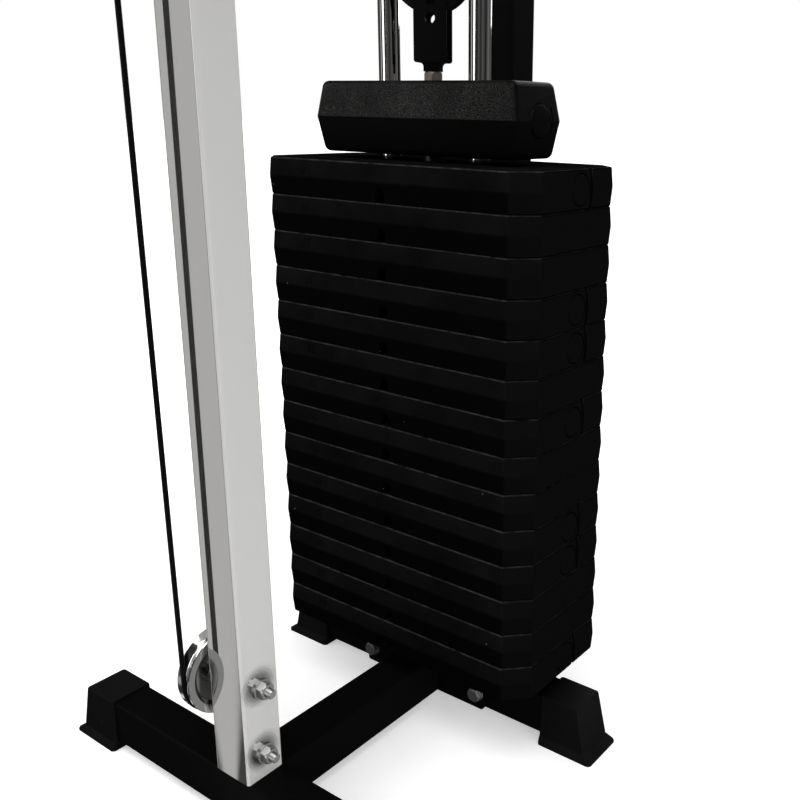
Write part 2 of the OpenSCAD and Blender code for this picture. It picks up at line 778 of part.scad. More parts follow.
module cable_floating_wrap() {
    color("#0f0f10") at_float() rotate([0, 0, -90]) bend_x(180, 360);
}

// Quarter turn round the carriage's pulley and the run to the stop ball
module cable_carriage_wrap() {
    color("#0f0f10") {
        translate([leg_x, cpul_y, cpul_z]) bend_x(270, 360);
        rod_y24(leg_x, stop_y, cpul_y, exit_z);
    }
}

place() front_cross_tube();
place() long_tube();
place() rear_flange_plate();
place() base_bolts();
place() rear_cross_tube();
place() rear_base_tube();
place() tube_caps();
place() front_boots();
place() rear_feet();
place() front_upright();
place() upright_spigot();
place() low_pulley_axle();
place() low_pulley();
place() rear_upright();
place() top_beam();
place() rod_top_mount();
place() guide_rods();
place() rod_collars();
place() stack_bumpers();
place() stack_plate(1);  // plate_01
place() stack_plate(2);  // plate_02
place() stack_plate(3);  // plate_03
place() stack_plate(4);  // plate_04
place() stack_plate(5);  // plate_05
place() stack_plate(6);  // plate_06
place() stack_plate(7);  // plate_07
place() stack_plate(8);  // plate_08
place() stack_plate(9);  // plate_09
place() stack_plate(10);  // plate_10
place() stack_plate(11);  // plate_11
place() stack_plate(12);  // plate_12
place() stack_plate(13);  // plate_13
place() stack_plate(14);  // plate_14
place() head_block();
place() head_bushings();
place() selector_stem();
place() stem_nut();
place() floating_bracket();
place() floating_axle();
place() floating_pulley();
place() top_pulley(-1, front_left_y);  // top_pulley_front_left
place() top_pulley(-1, rear_left_y);  // top_pulley_rear_left
place() top_pulley(1, front_right_y);  // top_pulley_front_right
place() top_pulley(1, rear_right_y);  // top_pulley_rear_right
place() top_pulley_bolts();
place() carriage_frame();
place() carriage_pulley();
place() carriage_axle();
place() carriage_pin();
place() cable_stop();
place() snap_hook();
place() cable_left_run();
place() cable_right_run();
place() cable_front_lower();
place() cable_front_upper();
place() cable_stack_legs();
place() cable_floating_wrap();
place() cable_carriage_wrap();
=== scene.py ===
# %% [markdown]
# # A cable column with a plate weight stack
# The machine lifts a stack of black plates with a coated cable that runs over
# pulleys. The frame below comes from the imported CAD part: its solids fix every
# size and every moving body. This file gives those solids their real finishes and
# models the pieces whose shape the plain solids only suggest.

import json
import math

import bmesh
import bpy
from mathutils import Matrix, Vector

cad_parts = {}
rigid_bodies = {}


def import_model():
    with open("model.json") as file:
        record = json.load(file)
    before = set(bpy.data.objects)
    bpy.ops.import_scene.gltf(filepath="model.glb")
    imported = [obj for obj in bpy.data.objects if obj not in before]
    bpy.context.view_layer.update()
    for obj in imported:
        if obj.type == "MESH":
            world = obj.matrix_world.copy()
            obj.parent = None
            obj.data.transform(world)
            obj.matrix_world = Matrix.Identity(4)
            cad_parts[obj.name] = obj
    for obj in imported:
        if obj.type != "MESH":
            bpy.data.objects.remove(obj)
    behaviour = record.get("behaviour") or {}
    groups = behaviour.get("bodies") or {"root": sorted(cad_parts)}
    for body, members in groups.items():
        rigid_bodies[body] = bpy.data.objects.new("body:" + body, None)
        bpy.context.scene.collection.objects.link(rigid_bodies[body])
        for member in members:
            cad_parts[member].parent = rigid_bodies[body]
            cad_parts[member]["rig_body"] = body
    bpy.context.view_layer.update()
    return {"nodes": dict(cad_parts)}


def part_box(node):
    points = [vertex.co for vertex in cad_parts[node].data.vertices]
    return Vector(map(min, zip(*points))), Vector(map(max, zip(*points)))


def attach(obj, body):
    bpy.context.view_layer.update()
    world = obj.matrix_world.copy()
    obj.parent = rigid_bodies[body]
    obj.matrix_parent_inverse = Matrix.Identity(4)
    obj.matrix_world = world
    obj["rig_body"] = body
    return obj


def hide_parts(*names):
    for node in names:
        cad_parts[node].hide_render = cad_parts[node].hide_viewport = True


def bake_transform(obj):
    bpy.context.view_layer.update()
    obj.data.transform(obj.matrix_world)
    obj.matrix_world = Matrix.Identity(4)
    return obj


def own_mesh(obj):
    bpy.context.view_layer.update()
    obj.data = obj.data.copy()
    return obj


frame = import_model()
MM = 0.001

# %% [markdown]
# ## Small helpers
# A mesh made with bmesh becomes an object with its place already in its vertices,
# so the object itself stays at the origin. Faces are smooth inside a bevel and
# sharp where two faces meet at more than the given angle, and the Weighted Normal
# modifier keeps large flat faces flat beside a small rounded edge.

# %% Turn a bmesh into a finished piece
def finish_piece(bm, name, material, body, nodes=(), sharp=32, weighted=True):
    bmesh.ops.remove_doubles(bm, verts=bm.verts[:], dist=1e-6)
    bmesh.ops.recalc_face_normals(bm, faces=bm.faces[:])
    mesh = bpy.data.meshes.new(name)
    bm.to_mesh(mesh)
    bm.free()
    mesh.polygons.foreach_set("use_smooth", [True] * len(mesh.polygons))
    mesh.set_sharp_from_angle(angle=math.radians(sharp))
    piece = bpy.data.objects.new(name, mesh)
    bpy.context.scene.collection.objects.link(piece)
    mesh.materials.append(material)
    if weighted:
        modifier = piece.modifiers.new("flat faces", "WEIGHTED_NORMAL")
        modifier.keep_sharp = True
    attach(piece, body)
    if nodes:
        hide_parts(*nodes)
    return piece


def body_of(node):
    return frame["nodes"][node]["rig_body"]


def centre_of(node):
    low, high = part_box(node)
    return (low + high) / 2

# %% [markdown]
# Most new pieces start as a block with softened edges, as an outline that is spun round
# its axle, or as rings along a route. Each could be drawn by hand in edit mode, but a
# short function keeps its sizes in view and serves many pieces.

# %% Shapes that several pieces start from
def block(bm, size, centre):
    made = bmesh.ops.create_cube(bm, size=1.0)["verts"]
    bmesh.ops.scale(bm, verts=made, vec=size)
    bmesh.ops.translate(bm, verts=made, vec=centre)


def soften(bm, width, segments, edges):
    bmesh.ops.bevel(bm, geom=edges, offset=width, offset_type="OFFSET",
                    segments=segments, profile=0.5, affect="EDGES",
                    clamp_overlap=True, material=-1)


def turned(bm, profile, centre, axis=(1, 0, 0), steps=96, closed=True):
    """Spins (distance along the axis, radius) points into a wheel, ring or pin."""
    old = set(bm.verts)
    points = [bm.verts.new((along * MM, 0.0, radius * MM)) for along, radius in profile]
    pairs = list(zip(points, points[1:]))
    if closed:
        pairs.append((points[-1], points[0]))
    edges = [bm.edges.new(pair) for pair in pairs]
    bmesh.ops.spin(bm, geom=points + edges, cent=(0, 0, 0), axis=(1, 0, 0),
                   angle=math.tau, steps=steps, use_merge=True)
    made = [v for v in bm.verts if v not in old]
    turn = Vector((1, 0, 0)).rotation_difference(Vector(axis).normalized())
    place = Matrix.Translation(centre) @ turn.to_matrix().to_4x4()
    bmesh.ops.transform(bm, verts=made, matrix=place)


def cable_through(bm, points, radius):
    """Rings of vertices along the points, bridged into one round cable."""
    heading = Vector((0, 0, 1))
    rings = []
    turn = Matrix.Identity(3)
    for i, point in enumerate(points):
        ahead = points[min(i + 1, len(points) - 1)] - points[max(i - 1, 0)]
        turn = heading.rotation_difference(ahead.normalized()).to_matrix() @ turn
        heading = ahead.normalized()
        ring = bmesh.ops.create_circle(bm, radius=radius, segments=20,
                                       cap_ends=i in (0, len(points) - 1))["verts"]
        bmesh.ops.transform(bm, verts=ring,
                            matrix=Matrix.Translation(point) @ turn.to_4x4())
        rings.append(list({e for v in ring for e in v.link_edges}))
    for one, two in zip(rings, rings[1:]):
        bmesh.ops.bridge_loops(bm, edges=one + two)


def arc(centre, radius, start, end):
    """Points round a wheel whose axle is along X: angles count from +Y upwards."""
    steps = 28
    angles = [math.radians(start + (end - start) * i / steps) for i in range(steps + 1)]
    return [centre + Vector((0, radius * math.cos(a), radius * math.sin(a))) for a in angles]


def straight(start, end, steps):
    return [start.lerp(end, i / steps) for i in range(steps + 1)]

# %% [markdown]
# Bores and slots are cut with Boolean modifiers. They are applied at once, so that what
# follows finds a finished mesh and no helper objects.

# %% Cut holes in a finished piece
def carve(piece, cutters):
    """Subtracts each cutter for good and removes it."""
    for cutter in cutters:
        modifier = piece.modifiers.new("cut", "BOOLEAN")
        modifier.operation = "DIFFERENCE"
        modifier.solver = "EXACT"
        modifier.object = cutter
    bpy.context.view_layer.update()
    graph = bpy.context.evaluated_depsgraph_get()
    mesh = bpy.data.meshes.new_from_object(piece.evaluated_get(graph))
    piece.modifiers.clear()
    piece.data = mesh
    for cutter in cutters:
        bpy.data.objects.remove(cutter)
    return piece


def loose(bm, name):
    """A helper object that takes no part in the finished model."""
    bmesh.ops.recalc_face_normals(bm, faces=bm.faces[:])
    mesh = bpy.data.meshes.new(name)
    bm.to_mesh(mesh)
    bm.free()
    helper = bpy.data.objects.new(name, mesh)
    bpy.context.scene.collection.objects.link(helper)
    return helper


def cutter_rod(start, end, radius):
    bm = bmesh.new()
    line = Vector(end) - Vector(start)
    made = bmesh.ops.create_cone(bm, cap_ends=True, radius1=radius, radius2=radius,
                                 depth=line.length, segments=48)["verts"]
    turn = Vector((0, 0, 1)).rotation_difference(line.normalized())
    place = Matrix.Translation((Vector(start) + Vector(end)) / 2)
    bmesh.ops.transform(bm, verts=made, matrix=place @ turn.to_matrix().to_4x4())
    return loose(bm, "cutter")


def cutter_box(low, high):
    bm = bmesh.new()
    low, high = Vector(low), Vector(high)
    block(bm, high - low, (low + high) / 2)
    return loose(bm, "cutter")

# %% [markdown]
# A CAD solid has perfectly sharp edges, which no real edge has. Where its shape is
# right, a Bevel modifier on a merged copy gives each sharp edge a small round that
# catches the light. The solid itself can't be beveled, because its triangles are loose.

# %% A softened copy of a CAD solid
def softened_copy(node, name, material, width, segments, angle=30):
    """The solid's triangles are merged and joined into flat faces, then edges round off."""
    bm = bmesh.new()
    bm.from_mesh(frame["nodes"][node].data)
    bmesh.ops.remove_doubles(bm, verts=bm.verts[:], dist=2e-6)
    bmesh.ops.dissolve_limit(bm, angle_limit=math.radians(1.0), verts=bm.verts[:],
                             edges=bm.edges[:])
    piece = finish_piece(bm, name, material, body_of(node), (node,), sharp=35,
                         weighted=False)
    rounding = piece.modifiers.new("rounded edges", "BEVEL")
    rounding.width = width * MM
    rounding.segments = segments
    rounding.limit_method = "ANGLE"
    rounding.angle_limit = math.radians(angle)
    rounding.harden_normals = False
    piece.modifiers.new("flat faces", "WEIGHTED_NORMAL").keep_sharp = True
    return piece

# %% [markdown]
# ## Finishes
# Every finish is procedural. Two effects come back in many of them, so each is a
# node group that is built once: a fine grain that tilts the surface a little, and
# dust that settles on what faces up, with a few pale specks. On the plates and the
# head block the same layer also carries painted light. A group puts out only what
# changes over the surface. The shader stays in the material itself. The same
# few short functions place the nodes of the groups and of the materials.

# %% Short ways to place shader nodes
def feed(tree, socket, value):
    """Links another node's output to a socket, or gives the socket a colour or a number."""
    if isinstance(value, bpy.types.NodeSocket):
        tree.links.new(value, socket)
    elif isinstance(value, tuple):
        socket.default_value = (*value, 1)
    else:
        socket.default_value = value


def placed(tree, kind, **values):
    node = tree.nodes.new(kind)
    for label, value in values.items():
        feed(tree, node.inputs[label], value)
    return node


def math_node(tree, operation, a, b=0.0):
    node = tree.nodes.new("ShaderNodeMath")
    node.operation = operation
    feed(tree, node.inputs[0], a)
    feed(tree, node.inputs[1], b)
    return node.outputs[0]


def remap(tree, value, start, end, low=0.0, high=1.0, smooth=False):
    """Takes start to low and end to high, and stays there beyond them."""
    node = placed(tree, "ShaderNodeMapRange", Value=value)
    node.interpolation_type = "SMOOTHSTEP" if smooth else "LINEAR"
    for label, number in (("From Min", start), ("From Max", end), ("To Min", low),
                          ("To Max", high)):
        node.inputs[label].default_value = number
    return node.outputs["Result"]


def mix(tree, mask, low, high, kind="RGBA"):
    """Gives low where the mask is 0 and high where it is 1. The kind is RGBA or FLOAT."""
    node = tree.nodes.new("ShaderNodeMix")
    node.data_type = kind
    first, result = {"FLOAT": (2, 0), "RGBA": (6, 2)}[kind]
    feed(tree, node.inputs[0], mask)
    feed(tree, node.inputs[first], low)
    feed(tree, node.inputs[first + 1], high)
    return node.outputs[result]


def noise(tree, where, scale, detail, roughness=0.5):
    return placed(tree, "ShaderNodeTexNoise", Vector=where, Scale=scale, Detail=detail,
                  Roughness=roughness).outputs["Fac"]


def relief(tree, height, strength, distance):
    return placed(tree, "ShaderNodeBump", Height=height, Strength=strength,
                  Distance=distance).outputs["Normal"]


def normal_axes(tree):
    """How far the surface faces along X, Y and Z."""
    facing = tree.nodes.new("ShaderNodeNewGeometry").outputs["Normal"]
    return placed(tree, "ShaderNodeSeparateXYZ", Vector=facing).outputs

# %% Node groups for grain, and for dust with painted light
FLOAT, COLOUR, VECTOR = "NodeSocketFloat", "NodeSocketColor", "NodeSocketVector"
SPECK = (0.42, 0.41, 0.39)


def new_group(name, inputs, outputs):
    """A node group, with the sockets that its nodes read from and those that they feed."""
    group = bpy.data.node_groups.new(name, "ShaderNodeTree")
    for label, kind, value in inputs:
        socket = group.interface.new_socket(label, in_out="INPUT", socket_type=kind)
        if value is not None:
            socket.default_value = value
    for label, kind in outputs:
        group.interface.new_socket(label, in_out="OUTPUT", socket_type=kind)
    return (group, group.nodes.new("NodeGroupInput").outputs,
            group.nodes.new("NodeGroupOutput").inputs)


grain, given, result = new_group(
    "grain", [("Vector", VECTOR, None), ("Scale", FLOAT, 800.0), ("Depth", FLOAT, 0.1),
              ("Waviness", FLOAT, 0.0)],
    [("Normal", VECTOR), ("Mask", FLOAT)])
fine = noise(grain, given["Vector"], given["Scale"], 3.0)
slow = noise(grain, given["Vector"], 14.0, 2.0)
waves = math_node(grain, "MULTIPLY", slow, given["Waviness"])
ripple = math_node(grain, "MULTIPLY", fine, given["Depth"])
feed(grain, result["Normal"], relief(grain, math_node(grain, "ADD", waves, ripple), 1.0, MM))
feed(grain, result["Mask"], slow)

# This layer is real dust and specks, and it also carries painted light where a finish feeds its
# dust amount with glints or light from above.
dust_and_painted_light, given, result = new_group(
    "dust_and_painted_light", [("Vector", VECTOR, None), ("Colour", COLOUR, (0.01, 0.01, 0.01, 1)),
             ("Dust", FLOAT, 0.02), ("Specks", FLOAT, 0.2)],
    [("Colour", COLOUR)])
cloud = noise(dust_and_painted_light, given["Vector"], 22.0, 5.0)
upwards = remap(dust_and_painted_light, normal_axes(dust_and_painted_light)["Z"], -0.05, 0.13, smooth=True)
layer = math_node(dust_and_painted_light, "MULTIPLY", math_node(dust_and_painted_light, "MULTIPLY", upwards, cloud), given["Dust"])
cells = placed(dust_and_painted_light, "ShaderNodeTexVoronoi", Vector=given["Vector"], Scale=130.0).outputs
chosen = placed(dust_and_painted_light, "ShaderNodeSeparateColor", Color=cells["Color"]).outputs["Red"]
near = math_node(dust_and_painted_light, "LESS_THAN", cells["Distance"], 0.09)
rare = math_node(dust_and_painted_light, "GREATER_THAN", chosen, 0.985)
dots = math_node(dust_and_painted_light, "MULTIPLY", math_node(dust_and_painted_light, "MULTIPLY", near, rare), given["Specks"])
covered = math_node(dust_and_painted_light, "MAXIMUM", layer, dots)
feed(dust_and_painted_light, result["Colour"], mix(dust_and_painted_light, covered, given["Colour"], SPECK))
print("node groups", [group.name for group in bpy.data.node_groups])

# %% Functions that start a finish
def new_finish(name, colour, roughness, metallic=0.0, specular=0.5):
    material = bpy.data.materials.new(name)
    material.use_nodes = True
    material.diffuse_color = (*colour, 1)
    tree = material.node_tree
    shader = tree.nodes["Principled BSDF"]
    shader.inputs["Base Color"].default_value = (*colour, 1)
    shader.inputs["Roughness"].default_value = roughness
    shader.inputs["Metallic"].default_value = metallic
    shader.inputs["Specular IOR Level"].default_value = specular
    return material, tree, shader, tree.nodes.new("ShaderNodeTexCoord").outputs["Object"]


def use_group(tree, group, **values):
    node = tree.nodes.new("ShaderNodeGroup")
    node.node_tree = group
    for label, value in values.items():
        feed(tree, node.inputs[label], value)
    return node.outputs


def add_grain(tree, shader, where, scale, depth, rough, waviness=0.0):
    """Rough gives the smoothest and the roughest places."""
    skin = use_group(tree, grain, Vector=where, Scale=scale, Depth=depth, Waviness=waviness)
    feed(tree, shader.inputs["Normal"], skin["Normal"])
    feed(tree, shader.inputs["Roughness"], remap(tree, skin["Mask"], 0.3, 0.7, *rough))


# Adds the dust layer; on the plates and the head block it also paints light.
def add_dust_and_painted_light(tree, shader, where, colour, amount, specks):
    skin = use_group(tree, dust_and_painted_light, Vector=where, Colour=colour, Dust=amount, Specks=specks)
    feed(tree, shader.inputs["Base Color"], skin["Colour"])


def grained_finish(name, colour, scale, depth, rough, metallic=0.0, specular=0.5, dusty=None):
    """A finish with grain, and with dust and specks where their two amounts are given."""
    material, tree, shader, where = new_finish(name, colour, rough[0], metallic, specular)
    add_grain(tree, shader, where, scale, depth, rough)
    if dusty:
        add_dust_and_painted_light(tree, shader, where, colour, *dusty)
    return material

# %% [markdown]
# The tubes have a satin black powder coat. Powder melts into a skin with a faint
# orange peel of about a millimetre, so a shallow grain of that size is enough. The
# rubber of the boots is duller and the plastic of plugs and knob a little glossier.
# The cable's coat is a smooth black plastic with the finest grain of all.

# %% Black finishes
powder_coat = grained_finish("powder_coat", (0.0030, 0.0030, 0.0031), 900, 0.05,
                             (0.36, 0.5), specular=0.02, dusty=(0.0, 0.25))
moulded_rubber = grained_finish("moulded_rubber", (0.0042, 0.0042, 0.0042), 1500, 0.08,
                                (0.5, 0.66), specular=0.03, dusty=(0.010, 0.3))
black_plastic = grained_finish("black_plastic", (0.004, 0.004, 0.0042), 1200, 0.03,
                               (0.28, 0.42), specular=0.06, dusty=(0.008, 0.2))
cable_coat = grained_finish("cable_coat", (0.003, 0.003, 0.0031), 2200, 0.03,
                            (0.25, 0.4), specular=0.06)
print("black finishes", [m.name for m in (powder_coat, moulded_rubber, black_plastic,
                                         cable_coat)])

# %% [markdown]
# The plates are moulded shells. Their surface is smoother than the head block's, with
# a shallow grain and soft flow marks, so two grains of different size are laid together
# and the gloss changes slowly over each face. The front's upper rims carry a painted
# highlight in patches. The ends are painted a little paler than the front, as painted
# light, and there the rims are painted near black, as painted shade in the seams. Dust
# on the front's upward faces also paints light from above. Two values on the mesh's
# points say where rims and seams are.

# %% Plate finish
# Plate colours: the end, seam and rim colours are painted light, painted shade and a painted
# highlight.
PLATE, PLATE_END_LIT = (0.0016, 0.0016, 0.0017), (0.0029, 0.0029, 0.0030)
SEAM_SHADE, RIM_HIGHLIGHT = (0.0001, 0.0001, 0.0001), (0.045, 0.045, 0.044)
# Amount of dust, which also paints light from above on the front's upward faces.
PLATE_DUST_AND_LIGHT = 0.017


def point_value(tree, name):
    node = tree.nodes.new("ShaderNodeAttribute")
    node.attribute_name = name
    return node.outputs["Fac"]


plate_shell, tree, shader, where = new_finish("plate_shell", PLATE, 0.45, specular=0.0)
add_grain(tree, shader, where, 650, 0.07, (0.34, 0.52), waviness=0.5)
sideways = math_node(tree, "ABSOLUTE", normal_axes(tree)["X"])
front = remap(tree, sideways, 0.2, 0.85, 1.0, 0.0)
patches = remap(tree, noise(tree, where, 55.0, 6.0, 0.75), 0.36, 0.66)
# Painted highlight: pale patches on the front's upper rims stand in for light caught there.
painted_rim_highlight = math_node(tree, "MULTIPLY", point_value(tree, "rim"), patches)
# Painted light and shade: the ends are painted paler than the front, and their top and bottom
# rims near black as shade in the seams.
painted_ends = mix(tree, point_value(tree, "seam_shade"), PLATE_END_LIT, SEAM_SHADE)
shell = mix(tree, front, painted_ends, PLATE)
with_rim_highlight = mix(tree, math_node(tree, "MULTIPLY", front, painted_rim_highlight), shell, RIM_HIGHLIGHT)
# Dust and painted light: dust on the upward-facing front also stands in for light from above.
add_dust_and_painted_light(tree, shader, where, with_rim_highlight, math_node(tree, "MULTIPLY", front, PLATE_DUST_AND_LIGHT), 0.3)

# %% [markdown]
# The head block's skin is pebbled like coarse leather. One noise both tilts the skin
# and picks the tops of the pebbles, which get painted glints. These painted highlights
# show on the front's upper slant, and hardly on the lower one, the top and the ends.

# %% Head block finish
HEAD = (0.0020, 0.0020, 0.0021)
pebbled_shell, tree, shader, where = new_finish("pebbled_shell", HEAD, 0.42, specular=0.03)
pebbles = noise(tree, where, 1100.0, 1.5)
feed(tree, shader.inputs["Normal"], relief(tree, pebbles, 0.3, 0.0009))
# Painted highlight: pale pebble tops, mostly on the front, stand in for glints of light.
painted_glints = remap(tree, pebbles, 0.46, 0.72, 0.012, 0.30)
forwards = remap(tree, normal_axes(tree)["Y"], -0.35, -0.97, 0.06, 0.72)
add_dust_and_painted_light(tree, shader, where, HEAD, math_node(tree, "MULTIPLY", painted_glints, forwards), 0.6)

# %% [markdown]
# The front upright is bright silver. Its front face mirrors the cable sharply, while
# its side faces are satin and show no clear reflection. Front and sides could have a
# material each, but the tube is one solid, so the face's own normal chooses between
# two sets of values. The sides are painted palest near the floor and darker higher up,
# as painted light. Only round the two bolts are they polished and paler, so they mirror
# the nuts there, and the dark studio that they mirror round each nut stands in for shade
# as a dark halo.

# %% Silver upright
# Painted light and shade: the side colours grade by height, and the paler polished patch round
# the bolts makes a dark halo for shade.
SILVER, POLISHED_SHADE_HALO = (0.60, 0.595, 0.585), (0.80, 0.80, 0.79)
SIDE_LIT_LOW, SIDE_SHADED_HIGH = (0.67, 0.667, 0.655), (0.455, 0.452, 0.443)
LOWER_BOLT_Z = 0.087
PATCH_Y, PATCH_Z = -0.0035, 0.0045


def distance_from(tree, spot, y, z):
    across = math_node(tree, "SUBTRACT", spot["Y"], y)
    along = math_node(tree, "SUBTRACT", spot["Z"], z)
    return math_node(tree, "SQRT", math_node(
        tree, "ADD", math_node(tree, "MULTIPLY", across, across),
        math_node(tree, "MULTIPLY", along, along)))


bright_silver, tree, shader, where = new_finish("bright_silver", SILVER, 0.14, metallic=1.0)
sideways = remap(tree, math_node(tree, "ABSOLUTE", normal_axes(tree)["X"]), 0.05, 0.3)
spot = placed(tree, "ShaderNodeSeparateXYZ", Vector=where).outputs
upper_bolt = centre_of("low_pulley_axle")
nearest = math_node(tree, "MINIMUM", *(
    distance_from(tree, spot, upper_bolt.y + PATCH_Y, z + PATCH_Z)
    for z in (upper_bolt.z, LOWER_BOLT_Z)))
# Painted shade: the polished patch round each bolt mirrors a dark halo that stands in for shade
# round the bolt.
shade_halo_polish = remap(tree, nearest, 0.010, 0.0245, 1.0, 0.0, smooth=True)
satin = mix(tree, sideways, 0.035, 0.38, "FLOAT")
mirror = mix(tree, sideways, 0.95, 0.2, "FLOAT")
feed(tree, shader.inputs["Roughness"], mix(tree, shade_halo_polish, satin, 0.02, "FLOAT"))
feed(tree, shader.inputs["Metallic"], mix(tree, shade_halo_polish, mirror, 0.97, "FLOAT"))
# Painted light: the side faces are paler near the floor and darker higher up.
side = mix(tree, remap(tree, spot["Z"], 0.05, 1.3), SIDE_LIT_LOW, SIDE_SHADED_HIGH)
wall = mix(tree, sideways, SILVER, side)
shade_halo_patch = remap(tree, nearest, 0.012, 0.020, 1.0, 0.0, smooth=True)
feed(tree, shader.inputs["Base Color"], mix(tree, shade_halo_patch, wall, POLISHED_SHADE_HALO))
print("polished round bolts at", round(upper_bolt.z, 4), "and", LOWER_BOLT_Z)

# %% [markdown]
# The pulleys are turned on a lathe, which leaves fine rings. A noise that is read by
# the distance from the axle draws them. The guide rods are chromed and drawn lengthwise,
# so their faint grain is stretched along Z. Small hardware is zinc plated, the stem is
# dark steel, and the nut on it has a brownish film.

# %% Turned, chromed, zinc-plated and dark metal
turned_metal, tree, shader, where = new_finish("turned_metal", (0.78, 0.78, 0.78), 0.08,
                                               metallic=1.0)
marks = placed(tree, "ShaderNodeTexNoise", Scale=2600.0, Detail=3.0)
marks.noise_dimensions = "1D"
feed(tree, marks.inputs["W"], point_value(tree, "radius"))
feed(tree, shader.inputs["Normal"], relief(tree, marks.outputs["Fac"], 0.10, 0.00025))

chrome_plate, tree, shader, where = new_finish("chrome_plate", (0.70, 0.69, 0.68), 0.05,
                                               metallic=1.0)
stretch = placed(tree, "ShaderNodeMapping", Vector=where)
stretch.inputs["Scale"].default_value = (1, 1, 0.015)
add_grain(tree, shader, stretch.outputs["Vector"], 1400, 0.006, (0.04, 0.09))

zinc_plate = grained_finish("zinc_plate", (0.88, 0.88, 0.87), 700, 0.02, (0.10, 0.20),
                            metallic=0.5)
dark_steel = grained_finish("dark_steel", (0.05, 0.049, 0.048), 900, 0.04, (0.28, 0.42),
                            metallic=1.0)
bronzed_steel = grained_finish("bronzed_steel", (0.21, 0.175, 0.15), 900, 0.04, (0.24, 0.4),
                               metallic=0.4)

# %% [markdown]
# The bolts' zinc is painted with light and dark bands round the bolt: painted
# highlights and painted shade for how small bright metal parts show the lamps and the
# dark between them. The bands are looked up by the angle at which the surface faces
# round the bolt, and flat ends are one even grey.

# %% Bolt zinc with painted highlights and shade
FLAT_END = (0.30, 0.30, 0.30)
# Grey levels of the painted highlights and shade, by degrees round the bolt.
PAINTED_BOLT_BANDS = [(-180, 0.1), (-90, 0.3), (-45, 0.06), (5, 0.10), (28, 0.75), (42, 0.16),
              (56, 1.0), (74, 1.0), (86, 0.12), (112, 0.10), (140, 0.6), (180, 0.1)]


def levels_by_angle(tree, angle, levels):
    """Grey levels at degrees from -180 to 180, looked up by an angle in radians."""
    ramp = tree.nodes.new("ShaderNodeValToRGB")
    stops = ramp.color_ramp.elements
    for degrees, level in levels[1:-1]:
        stops.new(degrees / 360 + 0.5)
    for stop, (degrees, level) in zip(stops, levels):
        stop.position = degrees / 360 + 0.5
        stop.color = (level, level, level, 1)
    turns = math_node(tree, "DIVIDE", angle, math.tau)
    feed(tree, ramp.inputs["Fac"], math_node(tree, "ADD", turns, 0.5))
    return ramp.outputs["Color"]


bolt_zinc, tree, shader, where = new_finish("bolt_zinc", (0.5, 0.5, 0.5), 0.14, metallic=0.35)
add_grain(tree, shader, where, 700, 0.02, (0.08, 0.18))
faces = normal_axes(tree)
around = math_node(tree, "ARCTAN2", faces["Z"], math_node(tree, "MULTIPLY", faces["Y"], -1.0))
# Painted highlights and shade: grey levels by the way the surface faces round the bolt.
painted_bands = levels_by_angle(tree, around, PAINTED_BOLT_BANDS)
flat = remap(tree, math_node(tree, "ABSOLUTE", faces["X"]), 0.75, 0.97, smooth=True)
feed(tree, shader.inputs["Base Color"], mix(tree, flat, painted_bands, FLAT_END))
print("metal finishes", [m.name for m in (bright_silver, turned_metal, chrome_plate,
                                         zinc_plate, dark_steel, bronzed_steel, bolt_zinc)])

# %% [markdown]
# Tubes, rods, stem and small round parts look right as the solids that they are, so
# they get a finish and no new mesh.

# %% Finishes for the solids that stay as they are
plain = {
    powder_coat: ["front_cross_tube", "long_tube", "rear_cross_tube", "rear_base_tube",
                  "rear_upright", "top_beam", "rod_top_mount", "upright_spigot"],
    bright_silver: ["front_upright"],
    chrome_plate: ["guide_rods"],
    zinc_plate: ["rod_collars"],
    dark_steel: ["selector_stem"],
    black_plastic: ["head_bushings", "cable_stop"],
    moulded_rubber: ["stack_bumpers"],
}
for material, nodes in plain.items():
    for node in nodes:
        mesh = frame["nodes"][node].data
        mesh.materials.clear()
        mesh.materials.append(material)
print("solids with a finish of their own:", sum(len(n) for n in plain.values()))

# %% [markdown]
# ## Weight plates
# Each plate is a shell with cut corners and a ridge half way up its side, so from
# the front it reads as two slanted bands. A cube is beveled at its four upright
# edges for the cut corners, cut through at half height, and its top and bottom
# rings are drawn in. A small round bevel on all edges then carries the thin bright
# line that every plate shows along its upper rim, which is a painted highlight. Bores,
# the pin's slot, a groove and the seat of a round filler disc are cut out. The disc and
# the groove are on the right end of some plates and on the left end of the others.

# %% Sizes of a plate and of what is cut out of it
PLATE_W, PLATE_D, PLATE_T = 0.383, 0.181, 0.041
CORNER, RIDGE, RIM = 0.025, 0.0015, 0.0018
STACK_Y = centre_of("guide_rods").y
ROD_X, ROD_BORE, STEM_BORE = 0.0633, 0.0135, 0.01375
PIN_SLOT_R, PIN_SLOT_END = 0.008, -0.002
GROOVE_FRONT, GROOVE_BACK, GROOVE_DEPTH = 0.0195, 0.024, 0.0045
DISC_R, DISC_Y, DISC_GAP, DISC_SUNK, SEAT_DEPTH = 0.0158, 0.002, 0.0012, 0.0004, 0.0065
PAST_END, PAST_TOP, PAST_FRONT = 0.01, 0.03, 0.1
FOLD = math.radians(6)
PLATES = 14
RIGHT_DISC = (1, 4, 5, 7, 10, 11, 14)

# %% One plate shape for each side that the filler disc can be on
def ridged_block(bm, size, corner, segments, inset):
    """A block with beveled upright edges, a cut at half height and rims drawn in."""
    width, depth, height = size
    block(bm, size, (0, 0, 0))
    upright = [e for e in bm.edges if abs(e.verts[0].co.z - e.verts[1].co.z) > height / 2]
    soften(bm, corner, segments, upright)
    bmesh.ops.bisect_plane(bm, geom=bm.verts[:] + bm.edges[:] + bm.faces[:],
                           plane_co=(0, 0, 0), plane_no=(0, 0, 1))
    rims = [v for v in bm.verts if abs(v.co.z) > height / 4]
    bmesh.ops.scale(bm, verts=rims, vec=(1 - 2 * inset / width, 1 - 2 * inset / depth, 1))


